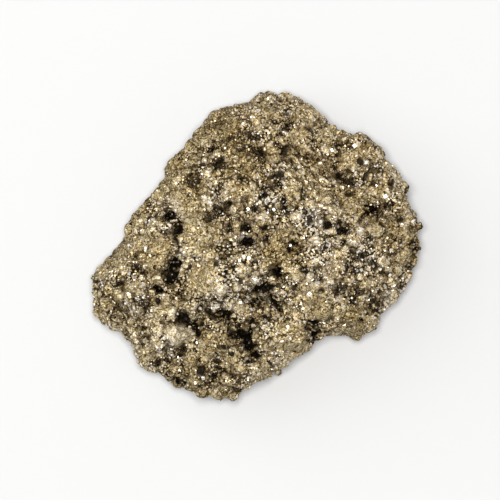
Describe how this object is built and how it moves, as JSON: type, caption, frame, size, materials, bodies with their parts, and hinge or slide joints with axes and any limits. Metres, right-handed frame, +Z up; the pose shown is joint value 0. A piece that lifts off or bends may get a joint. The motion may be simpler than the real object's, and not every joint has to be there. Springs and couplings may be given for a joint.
{
  "type": "pyrite specimen",
  "caption": "Hand specimen of granular pyrite, a lumpy dome of intergrown metallic crystals with pits and clefts, broken flat underneath.",
  "frame": {"origin": "middle of the bounding box's plan, on the resting plane", "axes": "+Z up from the flat base, +X along the specimen's length, +Y across it"},
  "size_m": [0.0598, 0.0558, 0.0339],
  "materials": {
    "pyrite": "brassy metallic crystals, dark in the gaps"
  },
  "bodies": {
    "root": {"pyrite_cluster": "pyrite"}
  },
  "joints": []
}
